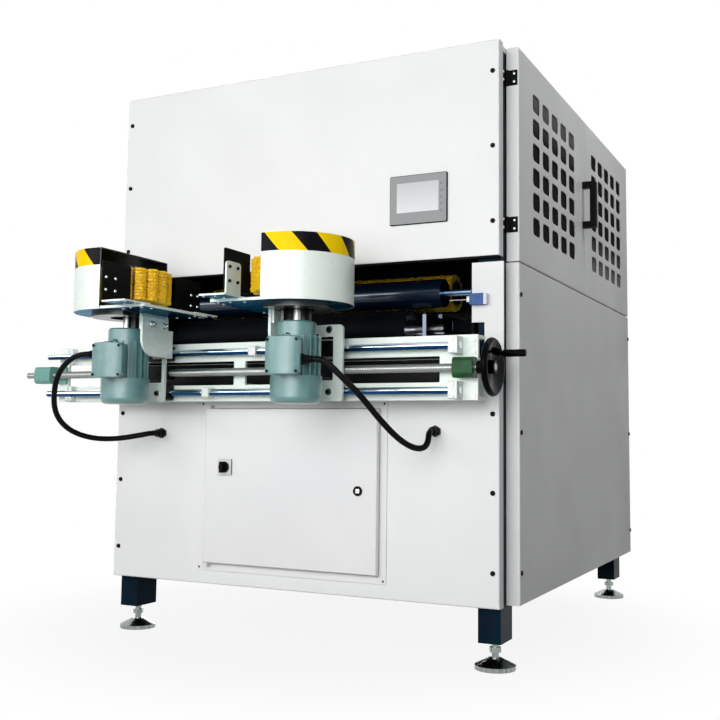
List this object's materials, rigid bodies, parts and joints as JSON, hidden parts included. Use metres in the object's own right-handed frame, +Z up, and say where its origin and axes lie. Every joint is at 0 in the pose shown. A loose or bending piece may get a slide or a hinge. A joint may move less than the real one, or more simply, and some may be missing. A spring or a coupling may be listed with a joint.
{
  "type": "brush sanding machine",
  "caption": "Floor-standing brush sander: cabinet with belt feed, inner brush, and a front beam with two sliding, tilting vertical brush heads set by a handwheel.",
  "frame": {"origin": "middle of the machine's footprint, on the floor, measured without the two loose conduits", "axes": "+X to the machine's right seen from the infeed, +Y from infeed to outfeed, +Z up"},
  "size_m": [1.715, 2.122, 1.866],
  "materials": {
    "frame_black": "satin black paint",
    "foot_steel": "bright plated steel",
    "cabinet_white": "white powder coat",
    "cabinet_grey": "light grey powder coat",
    "galvanised": "galvanised sheet",
    "fitting_black": "black fittings",
    "terminal_grey": "silver grey housing",
    "screen_pale": "lit display under glass",
    "switch_plate": "silver grey plate",
    "switch_knob": "black knob",
    "steel": "bright steel",
    "chrome": "hard chromed bar",
    "beam_mint": "pale mint-white paint",
    "block_white": "white paint",
    "plate_zinc": "blue passivated zinc",
    "bearing_black": "black anodised",
    "bearing_green": "green paint",
    "motor_green": "grey-green gloss paint",
    "fence_black": "satin black paint",
    "bristle_yellow": "yellow fibre",
    "wheel_black": "gloss black",
    "conduit_black": "black hose",
    "inner_grey": "dark grey paint",
    "belt_dark": "dark green belt",
    "drum_alloy": "turned metal",
    "roller_rubber": "dark rubber sleeve",
    "switch_blue": "blue housing"
  },
  "bodies": {
    "machine": {"frame_posts": "frame_black", "frame_rails": "frame_black", "levelling_feet": "foot_steel", "front_upper_panel": "cabinet_white", "front_lower_panel": "cabinet_white", "side_panels": "cabinet_white", "rear_panel": "cabinet_white", "roof_panel": "cabinet_white", "dust_spigot": "galvanised", "hinge_leaves": "fitting_black", "operator_panel": "terminal_grey", "operator_screen": "screen_pale", "electrical_box": "cabinet_grey", "panel_screws": "fitting_black", "cross_beam": "beam_mint", "guide_rails": "chrome", "rail_blocks": "block_white", "screw_bearings": "bearing_green", "cable_glands": "fitting_black", "roller_frame": "inner_grey", "conveyor_belt": "belt_dark", "drive_motors": "motor_green", "limit_switch": "switch_blue", "left_conduit": "conduit_black", "right_conduit": "conduit_black"},
    "side_door": {"side_door": "cabinet_white", "side_door_fittings": "fitting_black"},
    "rear_door": {"rear_door": "cabinet_white", "rear_door_handle": "fitting_black"},
    "electrical_door": {"electrical_door": "cabinet_grey", "main_switch_plate": "switch_plate"},
    "main_switch": {"main_switch_knob": "switch_knob"},
    "door_lock": {"door_lock": "steel"},
    "lead_screw": {"lead_screw": "steel", "handwheel": "wheel_black"},
    "crank_handle": {"crank_handle": "wheel_black"},
    "front_drum": {"front_drum": "drum_alloy"},
    "rear_drum": {"rear_drum": "drum_alloy"},
    "infeed_pressure_roller": {"infeed_pressure_roller": "roller_rubber"},
    "outfeed_pressure_roller": {"outfeed_pressure_roller": "roller_rubber"},
    "inner_brush_roller": {"inner_brush_roller": "bristle_yellow"},
    "switch_rod": {"switch_rod": "steel"},
    "left_carriage": {"left_carriage": "beam_mint", "left_rail_bearings": "bearing_black"},
    "left_head": {"left_head_base": "plate_zinc", "left_hood": "beam_mint", "left_fences": "fence_black", "left_motor": "motor_green", "left_conduit_boot": "conduit_black"},
    "left_brush": {"left_brush": "bristle_yellow", "left_brush_shaft": "steel"},
    "right_carriage": {"right_carriage": "beam_mint", "right_rail_bearings": "bearing_black"},
    "right_head": {"right_head_base": "plate_zinc", "right_hood": "beam_mint", "right_fences": "fence_black", "right_motor": "motor_green", "right_conduit_boot": "conduit_black"},
    "right_brush": {"right_brush": "bristle_yellow", "right_brush_shaft": "steel"}
  },
  "joints": [
    {"name": "left_carriage_slide", "type": "slide", "parent": "machine", "child": "left_carriage", "axis": [-1, 0, 0], "range_m": [-0.08, 0.24], "deforming": ["left_conduit", "right_conduit"]},
    {"name": "right_carriage_slide", "type": "slide", "parent": "machine", "child": "right_carriage", "axis": [1, 0, 0], "range_m": [-0.08, 0.24], "deforming": ["left_conduit", "right_conduit"]},
    {"name": "handwheel_turn", "type": "hinge", "parent": "machine", "child": "lead_screw", "pos_m": [0.7395, -0.682, 0.828], "axis": [1, 0, 0], "range_deg": [-2881, 8641]},
    {"name": "crank_handle_spin", "type": "hinge", "parent": "lead_screw", "child": "crank_handle", "pos_m": [0.7935, -0.63527, 0.86721], "axis": [1, 0, 0], "continuous": true},
    {"name": "left_head_tilt", "type": "hinge", "parent": "left_carriage", "child": "left_head", "pos_m": [-0.3225, -0.819, 0.966], "axis": [1, 0, 0], "range_deg": [-4, 4], "deforming": ["left_conduit"]},
    {"name": "left_brush_spin", "type": "hinge", "parent": "left_head", "child": "left_brush", "pos_m": [-0.3225, -0.832, 1.03], "axis": [0, 0, 1], "continuous": true},
    {"name": "right_head_tilt", "type": "hinge", "parent": "right_carriage", "child": "right_head", "pos_m": [0.2675, -0.819, 0.966], "axis": [1, 0, 0], "range_deg": [-4, 4], "deforming": ["right_conduit"]},
    {"name": "right_brush_spin", "type": "hinge", "parent": "right_head", "child": "right_brush", "pos_m": [0.2675, -0.832, 1.03], "axis": [0, 0, 1], "continuous": true},
    {"name": "side_door_swing", "type": "hinge", "parent": "machine", "child": "side_door", "pos_m": [0.7555, -0.483, 1.468], "axis": [0, 0, -1], "range_deg": [0, 90]},
    {"name": "rear_door_swing", "type": "hinge", "parent": "machine", "child": "rear_door", "pos_m": [-0.5495, 1.002, 0.5825], "axis": [0, 0, 1], "range_deg": [0, 110]},
    {"name": "electrical_door_swing", "type": "hinge", "parent": "machine", "child": "electrical_door", "pos_m": [-0.1925, -0.578, 0.482], "axis": [0, 0, -1], "range_deg": [0, 110]},
    {"name": "main_switch_turn", "type": "hinge", "parent": "electrical_door", "child": "main_switch", "pos_m": [-0.1235, -0.587, 0.54], "axis": [0, 1, 0], "range_deg": [0, 90]},
    {"name": "door_lock_turn", "type": "hinge", "parent": "electrical_door", "child": "door_lock", "pos_m": [0.3375, -0.587, 0.482], "axis": [0, 1, 0], "range_deg": [0, 90]},
    {"name": "front_drum_spin", "type": "hinge", "parent": "machine", "child": "front_drum", "pos_m": [-0.4575, -0.355, 0.97], "axis": [-1, 0, 0], "continuous": true},
    {"name": "rear_drum_spin", "type": "hinge", "parent": "machine", "child": "rear_drum", "pos_m": [-0.4575, 0.74, 0.97], "axis": [-1, 0, 0], "continuous": true},
    {"name": "infeed_roller_spin", "type": "hinge", "parent": "machine", "child": "infeed_pressure_roller", "pos_m": [-0.5205, -0.35, 1.082], "axis": [1, 0, 0], "continuous": true},
    {"name": "outfeed_roller_spin", "type": "hinge", "parent": "machine", "child": "outfeed_pressure_roller", "pos_m": [-0.5205, 0.73, 1.082], "axis": [1, 0, 0], "continuous": true},
    {"name": "inner_brush_spin", "type": "hinge", "parent": "machine", "child": "inner_brush_roller", "pos_m": [-0.4625, -0.16, 1.108], "axis": [1, 0, 0], "continuous": true},
    {"name": "switch_rod_swing", "type": "hinge", "parent": "machine", "child": "switch_rod", "pos_m": [0.6615, -0.541, 1.031], "axis": [0, 1, 0], "range_deg": [-12, 12], "stiffness_Nm_per_rad": 0.2}
  ],
  "couplings": [
    {"joint": "right_carriage_slide", "follows": "left_carriage_slide", "ratio": 1},
    {"joint": "handwheel_turn", "follows": "left_carriage_slide", "rad_per_m": 628.32},
    {"joint": "rear_drum_spin", "follows": "front_drum_spin", "ratio": 1}
  ]
}
